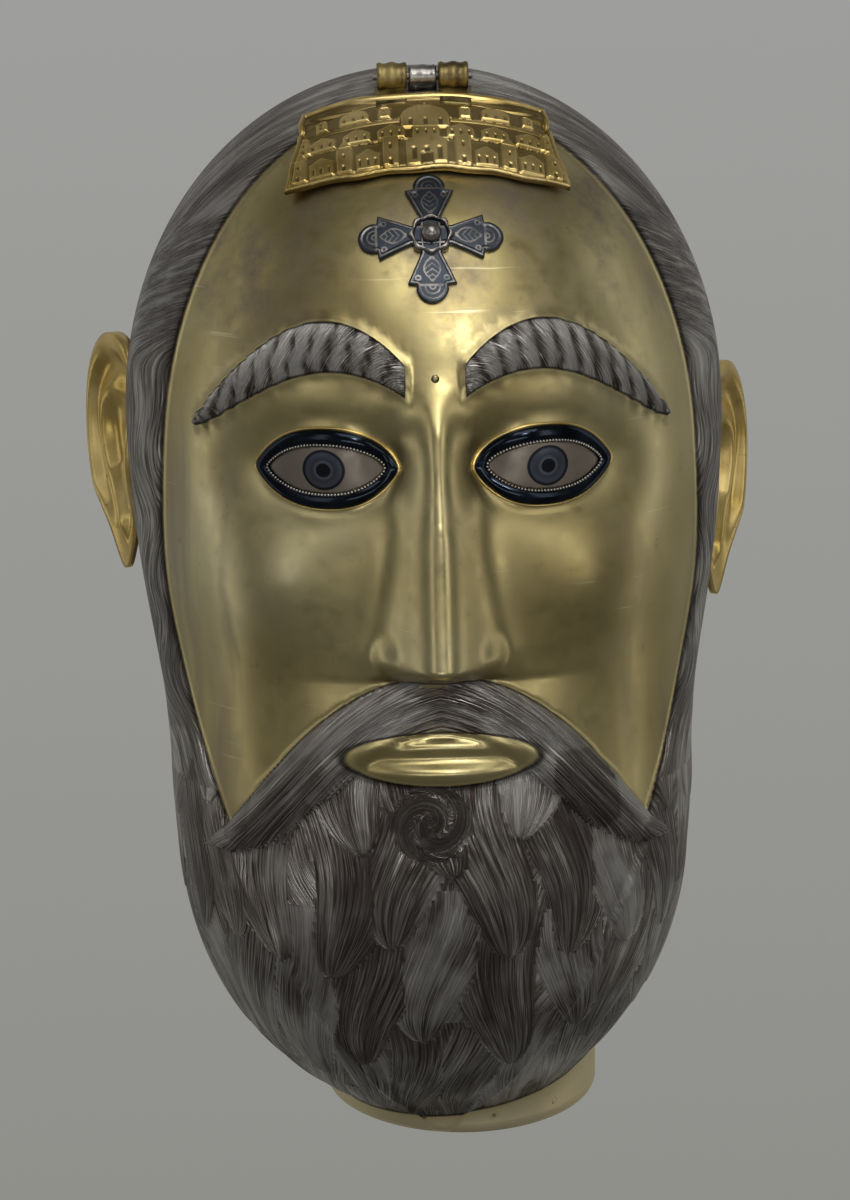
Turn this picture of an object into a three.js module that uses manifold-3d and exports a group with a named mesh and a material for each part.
// A head reliquary of embossed silver, partly gilt: a hollow bearded head on a short neck,
// with a hinged relief lid over an opening in the forehead. Lengths are millimetres, +Z is up,
// and the face looks towards -Y.
import * as THREE from "three";
import { mergeVertices } from "three/addons/utils/BufferGeometryUtils.js";
import Module from "manifold-3d";

const wasm = await Module();
wasm.setup();

// Driving dimensions of the head
const HEAD_BREADTH = 170; // across the hair, without the ears
const WALL = 2; // thickness of the embossed sheet
const LEAN = THREE.MathUtils.degToRad(2); // how far the face leans back from upright
const NECK_HALF_BREADTH = 40;
const NECK_HALF_DEPTH = 52;
const NECK_OFFSET = 8; // the neck is cut a little to the head's left
const NECK_HOLE_RADIUS = 1.1;
const NECK_HOLE_HEIGHT = 5;
const NECK_HOLE_TURNS = [-108, -80, -52]; // degrees round the neck, from the head's left
const BROW_HOLE_RADIUS = 1.1;

// Pieces set on the head, each cut to the head's own surface
const GAP = 0.3; // clearance between touching pieces
const LID_WIDTH = 74; // along its lower edge
const LID_UPPER_WIDTH = 64;
const LID_HEIGHT = 32;
const LID_THICKNESS = 1;
const LID_SEAT = 1; // height of the lid's underside over the forehead
const LID_SPRING = 1.1; // how far the lid's lower corners stand off
const LID_RELIEF = 1.1; // highest relief on the lid
const OPENING_MARGIN = 6; // ledge that the lid covers round the opening
const PIN_RADIUS = 1.2;
const BARREL_RADIUS = 3.1;
const KNUCKLE_RADIUS = 3.9;
const KNUCKLE_LENGTH = 8.2;
const PIN_END = 1.2; // how far the pin stands out of the knuckles
const PIN_CLEARANCE = 0.7; // between the knuckles and the forehead
const PLATE_START = 5; // from the pin to the lid's upper edge
const LEAF_LAP = 4; // how far each knuckle's leaf runs over the lid
const LEAF_THICKNESS = 1.3;
const LEAF_SEAT = 1.2; // height of the leaf's underside over the forehead
const BARREL_ROOM = 1.2; // clearance of the lid round the barrel
const FOOT_LENGTH = 8;
const FOOT_THICKNESS = 1.6;
const CROSS_REACH = 19; // from the middle to the tip of an arm
const CROSS_SPACE = 0.8; // between the lid's edge and the cross
const CROSS_THICKNESS = 1;
const COLLAR_RADIUS = 5.6;
const COLLAR_HEIGHT = 1.4;
const RIVET_RADIUS = 2.7;
const RIVET_ROOM = 1.5; // clearance of the collar round the bead
const EYE_HEIGHT = 12.5;
const EYE_THICKNESS = 1;
const EYE_RIM_WIDTH = 4.6;
const EYE_RIM_THICKNESS = 1.9;
const EAR_HEIGHT = 70;
const EAR_WIDTH = 34;
const EAR_THICKNESS = 2.4;
const EAR_SPREAD = THREE.MathUtils.degToRad(29);
const EAR_SUNK = 1; // how deep the ear's front edge goes into the hair, which cuts it there
const EAR_LIFT = 11; // of the right ear's middle over the middle of the face
const EAR_DROP = 12; // the left ear sits lower than the right one

// The head's canon: its breadth is two thirds of its height, and the face is three equal thirds
const THIRD = (HEAD_BREADTH * 1.5) / 3.5;
const k = THIRD / 73; // the carving below is drawn for a third of 73 mm
const CHIN = 81 * k;
const NOSE_BASE = CHIN + THIRD;
const BROW = NOSE_BASE + THIRD;
const EYE_LINE = BROW - THIRD / 4;
const MOUTH = NOSE_BASE - THIRD / 3;
const EYE_WIDTH = (HEAD_BREADTH * 0.88) / 5;
const MIDDLE = 215 * k; // height of the skull's middle
const BEARD_MIDDLE = 95 * k;
const STAND = new THREE.Vector3(0, -3 * k, -12 * k); // from the head's own frame to the neck's rim

// The masses of the head: middle, half-sizes and roundness
const SKULL = { c: [0, 5 * k, MIDDLE], r: [HEAD_BREADTH / 2, 98 * k, 97 * k], n: 2.05 };
const JAW = { c: [0, -6 * k, 152 * k], r: [76 * k, 80 * k, 86 * k], n: 2.2 };
const BEARD = { c: [0, -24 * k, 97 * k], r: [71 * k, 72 * k, 82 * k], n: 2 };
const NECK_REACH = 120 * k;
const JAW_BLEND = 22 * k;
const BEARD_BLEND = 14 * k;
const NECK_BLEND = 9 * k;

// Small mathematics
const gauss = (v) => Math.exp(-v * v);
const dome = (squared, power) => (squared < 1 ? Math.pow(1 - squared, power) : 0);
const ramp = (from, to, v) => {
  const t = THREE.MathUtils.clamp((v - from) / (to - from), 0, 1);
  return t * t * (3 - 2 * t);
};
const mix = THREE.MathUtils.lerp;
const hash = (i, j) => {
  const s = Math.sin(i * 12.9898 + j * 78.233) * 43758.5453;
  return s - Math.floor(s);
};
function smoothMin(a, b, blend) {
  const h = Math.max(blend - Math.abs(a - b), 0) / blend;
  return Math.min(a, b) - (h * h * blend) / 4;
}

// Between the head's own frame, where the face is upright, and the leaning world
const X_AXIS = new THREE.Vector3(1, 0, 0);
const Z_AXIS = new THREE.Vector3(0, 0, 1);
const toWorld = (p) => p.clone().applyAxisAngle(X_AXIS, -LEAN).add(STAND);
const toHead = (p) => p.clone().sub(STAND).applyAxisAngle(X_AXIS, LEAN);
const turnToWorld = (d) => d.clone().applyAxisAngle(X_AXIS, -LEAN);

// Distance outside a rounded mass, measured from its middle
function mass(p, { c, r, n }) {
  const d = [p.x - c[0], p.y - c[1], p.z - c[2]];
  const size = d.reduce((sum, v, i) => sum + Math.pow(Math.abs(v) / r[i], n), 0) ** (1 / n);
  const length = Math.max(Math.hypot(...d), 1e-6);
  return length - length / Math.max(size, 1e-9);
}

function neckMass(p) {
  const w = toWorld(p);
  const x = w.x - NECK_OFFSET;
  const size = Math.hypot(x / NECK_HALF_BREADTH, w.y / NECK_HALF_DEPTH);
  const length = Math.max(Math.hypot(x, w.y), 1e-6);
  return Math.max(length - length / Math.max(size, 1e-9), w.z - NECK_REACH);
}

function headField(p) {
  const face = smoothMin(mass(p, SKULL), mass(p, JAW), JAW_BLEND);
  const bearded = smoothMin(face, mass(p, BEARD), BEARD_BLEND);
  return smoothMin(bearded, neckMass(p), NECK_BLEND);
}

function fieldNormal(p, h = 0.5) {
  const at = (x, y, z) => headField(new THREE.Vector3(p.x + x, p.y + y, p.z + z));
  return new THREE.Vector3(
    at(h, 0, 0) - at(-h, 0, 0),
    at(0, h, 0) - at(0, -h, 0),
    at(0, 0, h) - at(0, 0, -h),
  ).normalize();
}

// Where a ray from inside the head leaves it, or the skin that lies inset below its surface
function marchOut(origin, direction, inset = 0) {
  let near = 0;
  let far = 200 * k;
  for (let step = 0; step < 32; step++) {
    const middle = (near + far) / 2;
    const p = origin.clone().addScaledVector(direction, middle);
    if (headField(p) + inset < 0) near = middle;
    else far = middle;
  }
  return origin.clone().addScaledVector(direction, (near + far) / 2);
}

// Carving of the face, as a height over the masses; inset narrows it for the inside of the sheet
function noseHeight(x, z, inset) {
  const root = BROW - 3 * k;
  const tip = NOSE_BASE + 6 * k;
  const along = THREE.MathUtils.clamp((root - z) / (root - tip), 0, 1);
  const half = (6.5 + 4 * along) * k - inset * 0.6;
  const height = Math.max((5 + 17 * along ** 1.15) * k - inset, 0);
  const start = ramp(root + 12 * k, root - 6 * k, z);
  const end = Math.sqrt(1 - THREE.MathUtils.clamp((tip - z) / (9 * k), 0, 1) ** 2);
  const section = 0.78 * gauss(x / half) + 0.22 * gauss(x / (2.3 * half));
  const ridge = height * section * start * end;
  if (inset > 0) return ridge;
  const wing = ((Math.abs(x) - 10.5 * k) / (7.5 * k)) ** 2 + ((z - NOSE_BASE - 6 * k) / (7.5 * k)) ** 2;
  return -smoothMin(-ridge, -9 * k * dome(wing, 0.8), 4 * k);
}

function faceForm(x, z, inset) {
  const side = Math.abs(x);
  let height = 0;
  height -= 8 * k * gauss(Math.hypot((side - 31 * k) / (21 * k), (z - EYE_LINE + 1 * k) / (13 * k)));
  height -= 4 * k * gauss(Math.hypot((side - 14 * k) / (7 * k), (z - EYE_LINE - 2 * k) / (11 * k)));
  const ball = ((side - EYE_WIDTH) / (19 * k)) ** 2 + ((z - EYE_LINE) / (13 * k)) ** 2;
  height += 6 * k * dome(ball, 1.2);
  height += 3.5 * k * gauss(Math.hypot((side - 46 * k) / (20 * k), (z - NOSE_BASE - 22 * k) / (17 * k)));
  height += 4 * k * gauss(Math.hypot(x / (28 * k), (z - MOUTH - 3 * k) / (20 * k)));
  return height + noseHeight(x, z, inset);
}

// The brow: a crescent of slanting tufts from beside the nose's root to the temple
const BROW_INNER = 7 * k;
const BROW_OUTER = 64 * k;
function browAt(x, z) {
  const along = (Math.abs(x) - BROW_INNER) / (BROW_OUTER - BROW_INNER);
  if (along <= 0 || along >= 1) return { along, across: 9 };
  const arch = BROW + 4 * k + 12 * k * Math.sin(Math.PI * along ** 0.85) - 12 * k * along ** 2;
  const half = 6.6 * k * Math.sqrt(Math.sin(Math.PI * (0.12 + 0.88 * along)));
  return { along, across: (z - arch) / Math.max(half, 0.5 * k) };
}

// The moustache: a band that falls from under the nose to a point on each cheek
const MOUSTACHE_REACH = 60 * k;
const moustacheTop = (x) => NOSE_BASE - 1 * k - 48 * k * Math.abs(x / (58 * k)) ** 2;
function moustacheAt(x, z) {
  const along = Math.abs(x) / MOUSTACHE_REACH;
  if (along >= 1) return { along, across: 9 };
  const half = 8.2 * k * (1 - along ** 4) * (1 + 0.35 * along * (1 - along));
  const slant = Math.sqrt(1 + (1.65 * along) ** 2);
  const middle = moustacheTop(x) - half * slant;
  return { along, across: (z - middle) / Math.max(half * slant, 0.5 * k) };
}

// How far, in millimetres, a point of the front lies outside the gilt face
function outsideFace(x, z) {
  const wide = 73.5 * k;
  const waist = 195 * k;
  if (z < waist) return Math.abs(x) - (wide - 18.5 * k * ((waist - z) / (92 * k)) ** 2);
  const size = ((Math.abs(x) / wide) ** 2.2 + ((z - waist) / (107 * k)) ** 2.2) ** (1 / 2.2);
  const length = Math.hypot(x, z - waist);
  return length - length / Math.max(size, 1e-9);
}

// Locks of the beard, laid like shingles: across and down are millimetres over the surface
const LOCK_WIDTH = 17 * k;
const LOCK_LENGTH = 31 * k;
const LOCK_FOLLOW = 1.4 * k; // how far the inside of the sheet swells behind the locks
function lockHeight(across, down) {
  const row = Math.floor(down / LOCK_LENGTH);
  let height = 0;
  for (const i of [row - 1, row]) {
    const stagger = (i % 2 === 0 ? 0 : 0.5) + 0.3 * (hash(i, 3) - 0.5);
    const column = Math.round(across / LOCK_WIDTH - stagger);
    for (const j of [column, column - 1, column + 1]) {
      const start = (i + 0.35 * (hash(i, j) - 0.5)) * LOCK_LENGTH;
      const along = (down - start) / (1.5 * LOCK_LENGTH);
      if (along <= 0 || along >= 1) continue;
      const sway = LOCK_WIDTH * 0.28 * Math.sin(4 * along + 6.3 * hash(i + 7, j));
      const half = LOCK_WIDTH * 0.62 * Math.sqrt(1 - along ** 3);
      const a = (across - (j + stagger) * LOCK_WIDTH - sway) / half;
      height = Math.max(height, 2.4 * k * (0.3 + along) * dome(a * a, 1) * dome(along ** 6, 1));
    }
  }
  return height;
}

// The spiral curl under the lower lip
const CURL = { x: -3 * k, z: MOUTH - 17 * k, radius: 10.5 * k };

// How far inside the hair a point is, and how far the hair stands over the gilt skin there
const HAIR_RISE = 1.2 * k;
const frontOf = (p) => ramp(10 * k, -25 * k, p.y);
function hairDepth(p) {
  const front = frontOf(p);
  return Math.max(outsideFace(p.x, p.z), front < 1 ? 2 * (1 - front) : -9);
}
const hairRise = (p) => HAIR_RISE * ramp(-0.5 * k, 1 * k, hairDepth(p)) * ramp(0, 5 * k, neckMass(p));

// Height of the finest carving that the solid carries: brows, moustache, lips and locks
function carving(p) {
  const front = frontOf(p);
  const hair = hairDepth(p);
  const beard = ramp(0, 1.5 * k, moustacheTop(p.x) - 4 * k - p.z);
  const onNeck = ramp(0, 5 * k, neckMass(p));
  let height = 0;
  const { across: browAcross, along: browAlong } = browAt(p.x, p.z);
  const tuft = 0.25 * Math.sin(browAlong * 62 + browAcross * 1.5);
  height += front * 2.3 * k * dome(browAcross ** 2, 0.45) * (1 + tuft);
  const lips = (p.x / (25 * k)) ** 2;
  const upper = gauss((p.z - MOUTH - 3.4 * k + 2.4 * k * lips) / (2.3 * k));
  const lower = gauss((p.z - MOUTH + 3.8 * k - 1.6 * k * lips) / (2.9 * k));
  height += front * dome(lips, 0.8) * (3 * upper + 3.6 * lower) * k;
  const mouthful = (p.x / (29 * k)) ** 2 + ((p.z - MOUTH) / (9.5 * k)) ** 2;
  const bearded = Math.max(beard * ramp(0.8, 1.15, mouthful), ramp(0, 1.5 * k, hair));
  const fromMiddle = [p.x, p.y + 5 * k, p.z - BEARD_MIDDLE];
  const level = Math.atan2(-fromMiddle[2], Math.hypot(fromMiddle[0], fromMiddle[1]));
  const down = fromMiddle[2] > 0 ? -fromMiddle[2] : level * 75 * k;
  const across = (Math.atan2(fromMiddle[1], fromMiddle[0]) + Math.PI / 2) * 75 * k;
  const lockZone = ramp(MOUTH - 6 * k, MOUTH - 22 * k, p.z) * bearded * onNeck * front;
  const curl = Math.hypot(p.x - CURL.x, p.z - CURL.z) / CURL.radius;
  height += front * 1 * k * beard * ramp(0.8, 1.15, mouthful) * ramp(-3 * k, -1 * k, -hair);
  height += lockHeight(across, down) * lockZone * ramp(0.9, 1.1, curl);
  height += front * 1.6 * k * dome(curl * curl, 0.4);
  const { across: moustache } = moustacheAt(p.x, p.z);
  return Math.max(height, height * 0.4 + front * 4.6 * k * dome(moustache ** 2, 0.42));
}

// A point of the head's skin, in its own frame, from a ray: outside, or the inside of the sheet
function skin(origin, direction, inside) {
  const base = marchOut(origin, direction, inside ? WALL : 0);
  const front = frontOf(base);
  const form = front > 0 ? front * faceForm(base.x, base.z, inside ? WALL : 0) : 0;
  const follow = front * LOCK_FOLLOW * ramp(MOUTH - 6 * k, MOUTH - 22 * k, base.z);
  const relief = inside ? follow * ramp(0, 5 * k, neckMass(base)) : carving(base);
  const height = form + hairRise(base) + relief;
  return base.addScaledVector(fieldNormal(base), height);
}

// A point of the front, from its distance off the middle plane and an angle about the skull
function frontPoint(x, angle, lift = 0) {
  const origin = new THREE.Vector3(x, SKULL.c[1], SKULL.c[2]);
  const direction = new THREE.Vector3(0, -Math.cos(angle), Math.sin(angle));
  const p = skin(origin, direction, false);
  if (lift === 0) return p;
  const step = 0.004;
  const right = frontPoint(x + 0.4, angle).sub(frontPoint(x - 0.4, angle));
  const up = frontPoint(x, angle + step).sub(frontPoint(x, angle - step));
  return p.addScaledVector(right.cross(up).normalize(), lift);
}

// Rays that cover the whole head: round from the left ear, and down from the crown to the rim
const CROWN_PART = 5 / 16;
const FACE_PART = 10 / 16;
const rimPoint = (turn, inset) =>
  new THREE.Vector3(
    NECK_OFFSET + (NECK_HALF_BREADTH - inset) * Math.cos(turn),
    (NECK_HALF_DEPTH - inset) * Math.sin(turn),
    0,
  );
function headRay(turn, down, inset) {
  const level = new THREE.Vector3(Math.cos(turn), Math.sin(turn), 0);
  if (down <= CROWN_PART) {
    const tilt = (Math.PI / 2) * (1 - down / CROWN_PART);
    const direction = level.multiplyScalar(Math.cos(tilt)).setZ(Math.sin(tilt));
    return { origin: new THREE.Vector3(...SKULL.c), direction };
  }
  const share = Math.min((down - CROWN_PART) / (FACE_PART - CROWN_PART), 1);
  const origin = new THREE.Vector3(0, mix(5, -5, share) * k, mix(MIDDLE, BEARD_MIDDLE, share));
  if (down <= FACE_PART) return { origin, direction: level };
  const end = toHead(rimPoint(turn, inset)).sub(origin).normalize();
  const fall = (down - FACE_PART) / (1 - FACE_PART);
  const angle = level.angleTo(end);
  const side = end.clone().addScaledVector(level, -Math.cos(angle)).normalize();
  const direction = level.multiplyScalar(Math.cos(angle * fall));
  return { origin, direction: direction.addScaledVector(side, Math.sin(angle * fall)) };
}

// Meshes
// Splits a grid of the head's skin where it curves, and joins cells of unlike size without gaps
function adaptiveSkin(points, faces, { columns, rows, depth, tolerance, inside }) {
  const fine = 2 ** depth;
  const across = columns * fine;
  const downward = rows * fine;
  const made = new Map();
  const idOf = (i, j) => {
    const key = j === 0 ? "pole" : `${((i % across) + across) % across},${j}`;
    if (!made.has(key)) {
      const turn = (2 * Math.PI * i) / across;
      const ray = headRay(turn, j / downward, inside ? WALL : 0);
      const p =
        j === downward
          ? rimPoint(turn, inside ? WALL : 0)
          : toWorld(skin(ray.origin, ray.direction, inside));
      made.set(key, points.push(p) - 1);
    }
    return made.get(key);
  };
  const at = (i, j) => points[idOf(i, j)];
  const strays = (p, a, b) => p.distanceTo(a.clone().lerp(b, 0.5));
  const leaves = [];
  const split = (i, j, size) => {
    const half = size / 2;
    const corners = [at(i, j), at(i, j + size), at(i + size, j + size), at(i + size, j)];
    const facing = corners[0].y + corners[2].y < -90 * k && Math.abs(corners[0].x) < 60 * k;
    const least = !inside && facing && j / downward > 0.2 ? fine / 2 : fine;
    const finest = inside || (facing && j / downward < 0.72) ? 1 : 2;
    const middle = at(i + half, j + half);
    const bent =
      size > finest &&
      (size > least ||
        strays(middle, corners[0], corners[2]) + strays(middle, corners[1], corners[3]) >
          2 * tolerance ||
        strays(at(i, j + half), corners[0], corners[1]) > tolerance ||
        strays(at(i + half, j), corners[0], corners[3]) > tolerance);
    if (!bent) leaves.push([i, j, size]);
    else for (const [a, b] of [[0, 0], [0, half], [half, half], [half, 0]]) split(i + a, j + b, half);
  };
  for (let i = 0; i < columns; i++) for (let j = 0; j < rows; j++) split(i * fine, j * fine, fine);
  const used = new Set();
  const keyOf = (i, j) => `${((i % across) + across) % across},${j}`;
  for (const [i, j, s] of leaves)
    for (const [a, b] of [[0, 0], [0, s], [s, s], [s, 0]]) used.add(keyOf(i + a, j + b));
  const addFace = (a, b, c) => {
    if (a !== b && b !== c && c !== a) faces.push([a, b, c]);
  };
  for (const [i, j, s] of leaves) {
    const edge = [];
    const walk = (i0, j0, di, dj) => {
      for (let n = 0; n < s; n++)
        if (used.has(keyOf(i0 + di * n, j0 + dj * n))) edge.push(idOf(i0 + di * n, j0 + dj * n));
    };
    walk(i, j, 0, 1);
    walk(i, j + s, 1, 0);
    walk(i + s, j + s, 0, -1);
    walk(i + s, j, -1, 0);
    if (edge.length === 4) {
      const [a, b, c, d] = edge;
      const short = points[a].distanceTo(points[c]) < points[b].distanceTo(points[d]);
      if (short) [[a, b, c], [a, c, d]].forEach((f) => addFace(...f));
      else [[a, b, d], [b, c, d]].forEach((f) => addFace(...f));
    } else {
      const centre = idOf(i + s / 2, j + s / 2);
      edge.forEach((v, n) => addFace(v, edge[(n + 1) % edge.length], centre));
    }
  }
  const rim = [];
  for (let i = 0; i < across; i++) if (used.has(keyOf(i, downward))) rim.push(idOf(i, downward));
  return rim;
}

function geometryOf(points, faces) {
  const geometry = new THREE.BufferGeometry();
  const flat = points.flatMap((p) => [p.x, p.y, p.z]);
  geometry.setAttribute("position", new THREE.Float32BufferAttribute(flat, 3));
  geometry.setIndex(faces.flat());
  return geometry;
}

function solidOf(geometry) {
  const bare = geometry.clone();
  bare.deleteAttribute("normal");
  bare.deleteAttribute("uv");
  const merged = mergeVertices(bare, 1e-4);
  const vertProperties = merged.attributes.position.array;
  const triVerts = new Uint32Array(merged.index.array);
  return new wasm.Manifold(new wasm.Mesh({ numProp: 3, vertProperties, triVerts }));
}

function geometryFrom(solid) {
  const mesh = solid.getMesh();
  const geometry = new THREE.BufferGeometry();
  const stride = mesh.numProp;
  const position = new Float32Array((mesh.vertProperties.length / stride) * 3);
  for (let v = 0; v < position.length / 3; v++)
    for (let axis = 0; axis < 3; axis++) position[v * 3 + axis] = mesh.vertProperties[v * stride + axis];
  geometry.setAttribute("position", new THREE.BufferAttribute(position, 3));
  geometry.setIndex(Array.from(mesh.triVerts));
  const faceted = geometry.toNonIndexed();
  faceted.computeVertexNormals();
  return faceted;
}

// A closed patch between two liftings of a rectangular grid of surface points
function slab(columns, rows, under, over) {
  const points = [];
  const faces = [];
  const wide = columns + 1;
  for (const side of [over, under])
    for (let j = 0; j <= rows; j++)
      for (let i = 0; i <= columns; i++) points.push(toWorld(side(i / columns, j / rows)));
  const bottom = wide * (rows + 1);
  const id = (i, j, layer) => layer * bottom + j * wide + i;
  for (let j = 0; j < rows; j++)
    for (let i = 0; i < columns; i++) {
      const [a, b, c, d] = [[i, j], [i + 1, j], [i + 1, j + 1], [i, j + 1]];
      faces.push([id(...a, 0), id(...b, 0), id(...c, 0)], [id(...a, 0), id(...c, 0), id(...d, 0)]);
      faces.push([id(...a, 1), id(...c, 1), id(...b, 1)], [id(...a, 1), id(...d, 1), id(...c, 1)]);
    }
  const wallStep = (p, q) => {
    faces.push([id(...p, 0), id(...p, 1), id(...q, 1)], [id(...p, 0), id(...q, 1), id(...q, 0)]);
  };
  for (let i = 0; i < columns; i++) {
    wallStep([i, 0], [i + 1, 0]);
    wallStep([columns - i, rows], [columns - i - 1, rows]);
  }
  for (let j = 0; j < rows; j++) {
    wallStep([columns, j], [columns, j + 1]);
    wallStep([0, rows - j], [0, rows - j - 1]);
  }
  return solidOf(geometryOf(points, faces));
}

// A straight prism of a flat outline, set on a place of the head and running along its outward way
function prism(outline, place, outward, low, high) {
  const shape = new THREE.Shape(outline.map(([x, y]) => new THREE.Vector2(x, y)));
  const geometry = new THREE.ExtrudeGeometry(shape, { depth: high - low, bevelEnabled: false });
  const up = new THREE.Vector3().crossVectors(outward, X_AXIS).normalize();
  const basis = new THREE.Matrix4().makeBasis(X_AXIS, up, outward);
  geometry.translate(0, 0, low);
  geometry.applyMatrix4(basis);
  geometry.translate(place.x, place.y, place.z);
  return solidOf(geometry);
}

const joined = (solids) => solids.reduce((all, one) => all.add(one));

// How deep a piece that stands on the head is drawn below it, before fitted() cuts it away
const SUNK = 2;

// The forehead's own coordinates: along the lid's slope from the hinge
const SKULL_REACH = 97 * k;
const HINGE_ANGLE = THREE.MathUtils.degToRad(67);
const lidAngle = (fromHinge) => HINGE_ANGLE - fromHinge / SKULL_REACH;

// The lid
const hingeFoot = frontPoint(0, HINGE_ANGLE);
const hingeUp = frontPoint(0, HINGE_ANGLE, 1).sub(hingeFoot);
const PIN_HEIGHT = KNUCKLE_RADIUS + PIN_CLEARANCE;
const pinPlace = toWorld(hingeFoot.clone().addScaledVector(hingeUp, PIN_HEIGHT));
const lidPoint = (s, t, lift) => {
  const x = (s - 0.5) * mix(LID_WIDTH, LID_UPPER_WIDTH, t);
  const corner = LID_SPRING * Math.abs(2 * s - 1) ** 3 * (1 - t) ** 2;
  return frontPoint(x, lidAngle(PLATE_START + LID_HEIGHT * (1 - t)), lift + corner);
};
const LID_COLUMNS = 6;
const LID_ROWS = 4;
const lidSlab = (low, high) =>
  slab(LID_COLUMNS, LID_ROWS, (s, t) => lidPoint(s, t, low), (s, t) => lidPoint(s, t, high));

// Flat outlines of the walled city, from the lid's lower edge up, drawn for a lid of 74 by 41 mm
const box = (x, low, width, height) => [
  [x - width / 2, low],
  [x + width / 2, low],
  [x + width / 2, low + height],
  [x - width / 2, low + height],
];
const house = (x, low, width, height, roof) => [
  ...box(x, low, width, height).slice(0, 3),
  [x, low + height + roof],
  [x - width / 2, low + height],
];
const domed = (x, low, width, height) => {
  const arc = [0, 1, 2, 3, 4, 5].map((n) => (n * Math.PI) / 5);
  const cap = arc.map((a) => [x + (width / 2) * Math.cos(a), low + height + (width / 2) * Math.sin(a)]);
  return [...box(x, low, width, height).slice(0, 2), ...cap];
};
const CITY = [
  {
    raise: 0.7,
    outlines: [
      box(0, 0.8, 70, 1.2),
      box(0, 1.6, 65, 8.4),
      box(0, 17, 58, 3.5),
      box(0, 36.5, 70, 1.5),
    ],
  },
  {
    raise: 0.9,
    outlines: [
      ...[-27, -18, 18, 27].map((x) => house(x, 3, 7.5, 8, 3)),
      ...[-24, -12, 12, 24].map((x) => house(x, 20, 8, 4, 3)),
      ...[-17, 17].map((x) => domed(x, 28, 7, 2)),
    ],
  },
  {
    raise: LID_RELIEF,
    outlines: [
      house(0, 1.4, 11, 12.6, 5),
      ...[-9.5, 9.5].map((x) => house(x, 1.4, 5, 15.6, 5)),
      ...[-33, 33].map((x) => domed(x, 1.4, 5, 13.6)),
      domed(0, 19.5, 13, 6.5),
    ],
  },
];

const toLid = (outline) => outline.map(([x, y]) => [(x * LID_WIDTH) / 74, (y * LID_HEIGHT) / 41]);

function makeLid() {
  const top = LID_SEAT + LID_THICKNESS;
  const plate = lidSlab(LID_SEAT, top);
  const lower = lidPoint(0.5, 0, 0);
  const upper = lidPoint(0.5, 1, 0);
  const slope = turnToWorld(upper.clone().sub(lower).normalize());
  const outward = new THREE.Vector3().crossVectors(X_AXIS, slope).normalize();
  const place = toWorld(lower);
  const reliefs = CITY.map(({ raise, outlines }) => {
    const columns = joined(outlines.map((outline) => prism(toLid(outline), place, outward, -30, 30)));
    return lidSlab(top - LID_THICKNESS / 2, top + raise).intersect(columns);
  });
  const leafLength = PLATE_START + LEAF_LAP;
  const knuckles = [-1, 1].map((side) => {
    const x = side * (KNUCKLE_LENGTH + GAP);
    const ring = tube(x, KNUCKLE_LENGTH, KNUCKLE_RADIUS);
    const near = x - KNUCKLE_LENGTH / 2;
    const lift = (s, t, height) =>
      frontPoint(near + s * KNUCKLE_LENGTH, lidAngle(leafLength * (1 - t)), height);
    const low = (s, t) => lift(s, t, LEAF_SEAT);
    const high = (s, t) => lift(s, t, LEAF_SEAT + LEAF_THICKNESS);
    return ring.add(slab(2, 3, low, high));
  });
  const bore = rod(0, 4 * KNUCKLE_LENGTH, PIN_RADIUS + GAP);
  const barrelRoom = rod(0, KNUCKLE_LENGTH + 2 * GAP, BARREL_RADIUS + BARREL_ROOM);
  return joined([plate, ...reliefs, ...knuckles]).subtract(bore).subtract(barrelRoom);
}

// The hinge
const ROUND = 16;
function rod(x, length, radius) {
  const geometry = new THREE.CylinderGeometry(radius, radius, length, ROUND);
  geometry.rotateZ(Math.PI / 2);
  geometry.translate(pinPlace.x + x, pinPlace.y, pinPlace.z);
  return solidOf(geometry);
}
const tube = (x, length, radius) => rod(x, length, radius).subtract(rod(x, length + 1, PIN_RADIUS + GAP));

function makeBarrel() {
  const back = HINGE_ANGLE + FOOT_LENGTH / SKULL_REACH;
  const half = KNUCKLE_LENGTH / 2 - GAP;
  const at = (s, t, lift) => frontPoint((2 * s - 1) * half, mix(HINGE_ANGLE, back, t), lift);
  const strap = (high) => slab(2, 3, (s, t) => at(s, t, -SUNK), (s, t) => at(s, t, high));
  const foot = strap(FOOT_THICKNESS);
  const post = strap(PIN_HEIGHT - 1).intersect(rod(0, 2 * half, PIN_HEIGHT));
  const barrel = joined([rod(0, 2 * half, BARREL_RADIUS), foot, post]);
  return fitted(barrel.subtract(rod(0, KNUCKLE_LENGTH, PIN_RADIUS + GAP)), Z_AXIS);
}

// The opening that the lid covers
function makeOpening() {
  const half = (t) => mix(LID_WIDTH, LID_UPPER_WIDTH, t) / 2 - OPENING_MARGIN;
  const start = PLATE_START + OPENING_MARGIN;
  const end = PLATE_START + LID_HEIGHT - OPENING_MARGIN;
  const at = (s, t, lift) =>
    frontPoint((2 * s - 1) * half(t), lidAngle(mix(end, start, t)), lift);
  return slab(8, 5, (s, t) => at(s, t, -WALL * 4), (s, t) => at(s, t, WALL * 2));
}

function drill(place, outward, radius, low, high) {
  const steps = Array.from({ length: 10 }, (_, n) => (n * Math.PI) / 5);
  const outline = steps.map((a) => [radius * Math.cos(a), radius * Math.sin(a)]);
  return prism(outline, place, outward, low, high);
}

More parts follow.
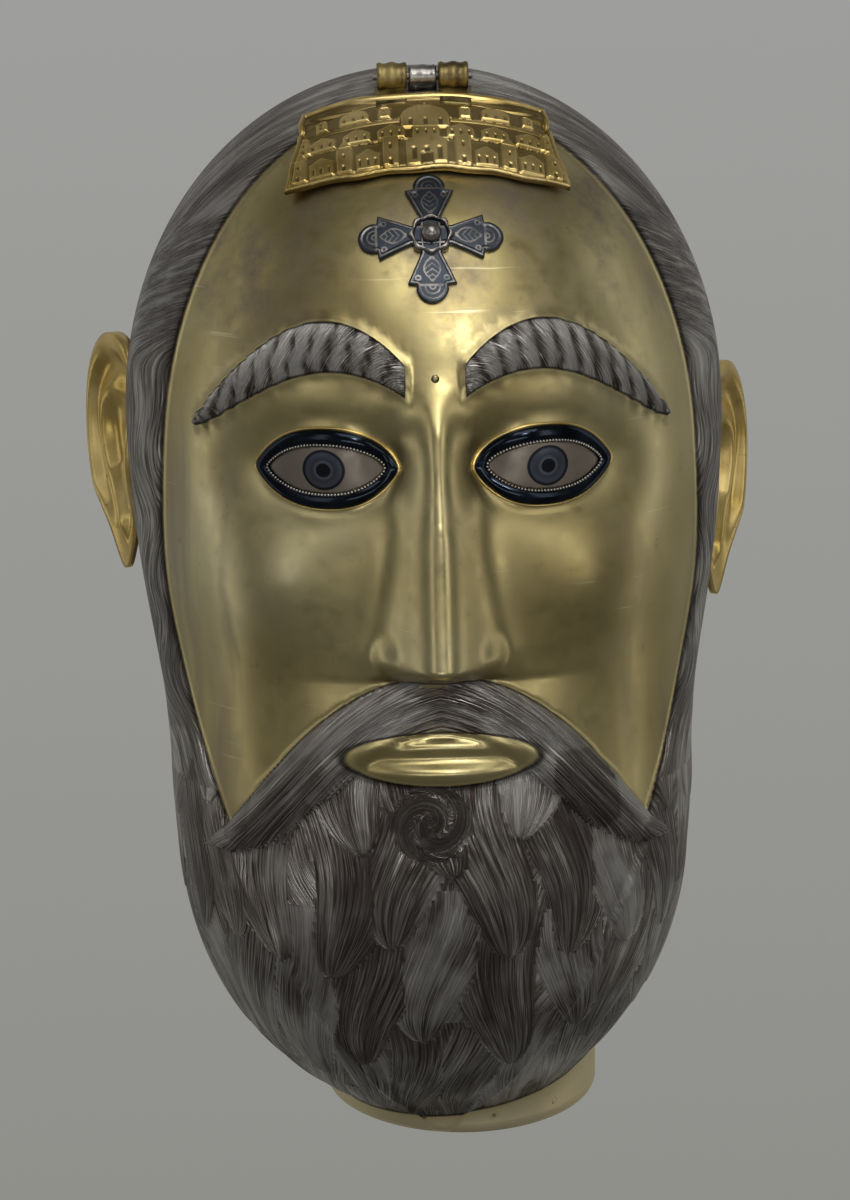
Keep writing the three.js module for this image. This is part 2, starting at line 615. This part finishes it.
// The sheet's outside and inside as two full bodies, which share the neck's rim plane
function fullHead(inside) {
  const points = [];
  const faces = [];
  const fine = { columns: 24, rows: 16, depth: 3, tolerance: 0.9 * k, inside };
  const coarse = { columns: 16, rows: 12, depth: 2, tolerance: 1.2 * k, inside };
  const rim = adaptiveSkin(points, faces, inside ? coarse : fine);
  const hub = points.push(new THREE.Vector3(NECK_OFFSET, 0, 0)) - 1;
  rim.forEach((id, n) => faces.push([id, hub, rim[(n + 1) % rim.length]]));
  return solidOf(geometryOf(points, faces));
}
const outerHead = fullHead(false);

// Cuts away from a piece all that would come nearer to the head than the gap, along one way
function fitted(solid, way) {
  return solid.subtract(outerHead.translate(way.clone().multiplyScalar(GAP).toArray()));
}

function makeHead() {
  let head = outerHead.subtract(fullHead(true)).subtract(makeOpening());
  for (const turn of NECK_HOLE_TURNS) {
    const angle = THREE.MathUtils.degToRad(turn);
    const place = rimPoint(angle, 0).setZ(NECK_HOLE_HEIGHT);
    const outward = new THREE.Vector3(Math.cos(angle), Math.sin(angle), 0);
    head = head.subtract(drillRound(place, outward, NECK_HOLE_RADIUS));
  }
  const browPlace = toWorld(frontPoint(0, (BROW + 6 * k - MIDDLE) / (98 * k)));
  const forward = turnToWorld(new THREE.Vector3(0, -1, 0));
  return head.subtract(drill(browPlace, forward, BROW_HOLE_RADIUS, -2.5, 6));
}

function drillRound(place, outward, radius) {
  const geometry = new THREE.CylinderGeometry(radius, radius, 6 * WALL, 10);
  const length = new THREE.Vector3(0, 1, 0);
  geometry.applyQuaternion(new THREE.Quaternion().setFromUnitVectors(length, outward));
  geometry.translate(place.x, place.y, place.z);
  return solidOf(geometry);
}

// The eyes: a ball plate inside an almond rim
function almond(width, height, middle) {
  const outline = [];
  const steps = 18;
  for (let n = 0; n < steps; n++) {
    const turn = (2 * Math.PI * n) / steps;
    const c = Math.cos(turn);
    const s = Math.sin(turn);
    outline.push([middle + (width / 2) * c, (height / 2) * s * (1 - 0.42 * c ** 4)]);
  }
  return outline;
}

function makeEye(side, part) {
  const middle = side * EYE_WIDTH;
  const place = toWorld(new THREE.Vector3(0, 0, EYE_LINE));
  const outward = turnToWorld(new THREE.Vector3(0, -1, 0));
  const cut = (width, height) => prism(almond(width, height, middle), place, outward, 40 * k, 130 * k);
  const wide = EYE_WIDTH + 2 * EYE_RIM_WIDTH;
  const tall = EYE_HEIGHT + 2 * EYE_RIM_WIDTH;
  const patch = (low, high) => {
    const at = (s, t, lift) => {
      const angle = (EYE_LINE - MIDDLE + (t - 0.5) * (tall + 6)) / (98 * k);
      return frontPoint(middle + (s - 0.5) * (wide + 6), angle, lift);
    };
    return slab(7, 5, (s, t) => at(s, t, low), (s, t) => at(s, t, high));
  };
  if (part === "ball")
    return fitted(patch(-SUNK, GAP + EYE_THICKNESS).intersect(cut(EYE_WIDTH, EYE_HEIGHT)), outward);
  const hole = cut(EYE_WIDTH + 2 * GAP, EYE_HEIGHT + 2 * GAP);
  return fitted(patch(-SUNK, GAP + EYE_RIM_THICKNESS).intersect(cut(wide, tall)).subtract(hole), outward);
}

// The cross on the forehead
const CROSS_ANGLE = lidAngle(PLATE_START + LID_HEIGHT + CROSS_SPACE + CROSS_REACH);
const crossMiddle = frontPoint(0, CROSS_ANGLE);
const crossWay = frontPoint(0, CROSS_ANGLE, 1).sub(crossMiddle);
const crossPlace = toWorld(crossMiddle);
const crossOutward = turnToWorld(crossWay);
function crossArm(turn) {
  const reach = CROSS_REACH;
  const flare = [[0, -3], [reach * 0.28, -2.7], [reach * 0.72, -6.4], [reach * 0.74, -4]];
  const lobe = [-60, -30, 0, 30, 60].map((a) => {
    const angle = THREE.MathUtils.degToRad(a);
    return [reach * 0.74 + reach * 0.26 * Math.cos(angle), reach * 0.23 * Math.sin(angle)];
  });
  const mirror = [...flare].reverse().map(([x, y]) => [x, -y]);
  return [...flare, ...lobe, ...mirror].map(([x, y]) => [
    x * Math.cos(turn) - y * Math.sin(turn),
    x * Math.sin(turn) + y * Math.cos(turn),
  ]);
}

function makeCross() {
  const room = CROSS_REACH + 2;
  const patch = (low, high) => {
    const at = (s, t, lift) =>
      frontPoint((2 * s - 1) * room, CROSS_ANGLE + ((2 * t - 1) * room) / SKULL_REACH, lift);
    return slab(5, 5, (s, t) => at(s, t, low), (s, t) => at(s, t, high));
  };
  const cut = (outline) => prism(outline, crossPlace, crossOutward, -20, 20);
  const arms = [0, 1, 2, 3].map((n) => cut(crossArm((n * Math.PI) / 2)));
  const disc = drill(crossPlace, crossOutward, COLLAR_RADIUS, -20, 20);
  const plate = patch(-SUNK, GAP + CROSS_THICKNESS).intersect(joined([...arms, disc]));
  const collar = patch(-SUNK, GAP + CROSS_THICKNESS + COLLAR_HEIGHT).intersect(disc);
  const seat = drill(crossPlace, crossOutward, RIVET_RADIUS + RIVET_ROOM, -20, 20);
  return fitted(plate.add(collar).subtract(seat), crossOutward);
}

function makeRivet() {
  const geometry = new THREE.SphereGeometry(RIVET_RADIUS, 16, 10);
  const centre = crossPlace.clone().addScaledVector(crossOutward, GAP + RIVET_RADIUS * 0.75);
  geometry.translate(centre.x, centre.y, centre.z);
  return fitted(solidOf(geometry), crossOutward);
}

// The ears: thin cast shells with a rolled rim, an inner ridge and a hanging lobe
function earPoint(radial, turn, back) {
  const up = Math.sin(turn);
  const lobe = Math.max(-up - 0.35, 0);
  const half = (EAR_WIDTH / 2) * (1 + 0.26 * up - 0.5 * lobe);
  const u = radial * half * Math.cos(turn) - EAR_WIDTH * 0.12 * lobe;
  const w = radial * (EAR_HEIGHT / 2) * up;
  const bowl = -5 * (1 - radial ** 2) * (1 - 0.6 * lobe);
  if (back) return new THREE.Vector3(u, w, bowl - EAR_THICKNESS * (1.1 - 0.3 * radial));
  const rimmed = 3 * gauss((radial - 0.9) / 0.12) * ramp(-0.75, -0.3, up);
  const ridge = 3.2 * gauss((radial - 0.58) / 0.13) * ramp(-0.6, 0.3, Math.cos(turn));
  const tragus = 4 * gauss(Math.hypot((Math.cos(turn) + 1) / 0.35, radial - 0.62, up * 2));
  return new THREE.Vector3(u, w, bowl + rimmed + ridge + tragus);
}

const EAR_AT = { y: 12 * k, z: (BROW + NOSE_BASE) / 2 + EAR_LIFT };
function makeEar(side) {
  const rings = 6;
  const steps = 20;
  const points = [];
  const faces = [];
  const drop = side > 0 ? EAR_DROP : 0;
  const rootY = EAR_AT.y;
  const rootZ = EAR_AT.z - drop;
  const level = new THREE.Vector3(0, rootY, rootZ);
  const root = marchOut(level, new THREE.Vector3(side, 0, 0));
  const place = ({ x: u, y: w, z: n }) => {
    const along = u + EAR_WIDTH * 0.42;
    const y = rootY + along * Math.cos(EAR_SPREAD) - n * Math.sin(EAR_SPREAD);
    const out = along * Math.sin(EAR_SPREAD) + n * Math.cos(EAR_SPREAD) - EAR_SUNK;
    return toWorld(new THREE.Vector3(side * (Math.abs(root.x) + out), y - 6 * k, rootZ + w));
  };
  for (const back of [false, true]) {
    const first = points.length;
    points.push(place(earPoint(0, 0, back)));
    for (let r = 1; r <= rings; r++)
      for (let n = 0; n < steps; n++)
        points.push(place(earPoint(r / rings, (2 * Math.PI * n) / steps, back)));
    const id = (r, n) => (r === 0 ? first : first + 1 + (r - 1) * steps + (n % steps));
    for (let r = 0; r < rings; r++)
      for (let n = 0; n < steps; n++) {
        const cell = [[id(r, n), id(r + 1, n), id(r + 1, n + 1)]];
        if (r > 0) cell.push([id(r, n), id(r + 1, n + 1), id(r, n + 1)]);
        faces.push(...cell.map(([a, b, c]) => (back ? [a, c, b] : [a, b, c])));
      }
  }
  const count = 1 + rings * steps;
  for (let n = 0; n < steps; n++) {
    const front = [count - steps + n, count - steps + ((n + 1) % steps)];
    const rear = front.map((v) => v + count);
    faces.push([front[0], rear[0], rear[1]], [front[0], rear[1], front[1]]);
  }
  if (side < 0) faces.forEach((f) => f.reverse());
  const shell = solidOf(geometryOf(points, faces));
  return fitted(shell, new THREE.Vector3(side, 0, 0));
}

// The parts in their materials
const gilt = { color: 0xc2a75e, metalness: 1, roughness: 0.35 };
const brightGilt = { color: 0xcf9f43, metalness: 1, roughness: 0.3 };
const silver = { color: 0x77736f, metalness: 1, roughness: 0.42 };
const niello = { color: 0x2c3138, metalness: 0.6, roughness: 0.3 };
const group = new THREE.Group();
function addPart(name, solid, finish) {
  const mesh = new THREE.Mesh(geometryFrom(solid), new THREE.MeshStandardMaterial(finish));
  mesh.name = name;
  group.add(mesh);
}

addPart("head", makeHead(), gilt);
addPart("lid", makeLid(), brightGilt);
addPart("hinge_barrel", makeBarrel(), silver);
addPart("hinge_pin", rod(0, 3 * KNUCKLE_LENGTH + 2 * GAP + 2 * PIN_END, PIN_RADIUS), silver);
addPart("forehead_cross", makeCross(), niello);
addPart("cross_bead", makeRivet(), silver);
for (const [name, side] of [["right", -1], ["left", 1]]) {
  addPart(`${name}_eye`, makeEye(side, "ball"), silver);
  addPart(`${name}_eye_rim`, makeEye(side, "rim"), niello);
  addPart(`${name}_ear`, makeEar(side), brightGilt);
}

// The origin is under the middle of the whole reliquary, where it stands
const bounds = new THREE.Box3().setFromObject(group);
const standing = bounds.getCenter(new THREE.Vector3()).setZ(bounds.min.z);
for (const mesh of group.children) mesh.geometry.translate(-standing.x, -standing.y, -standing.z);

export default group;
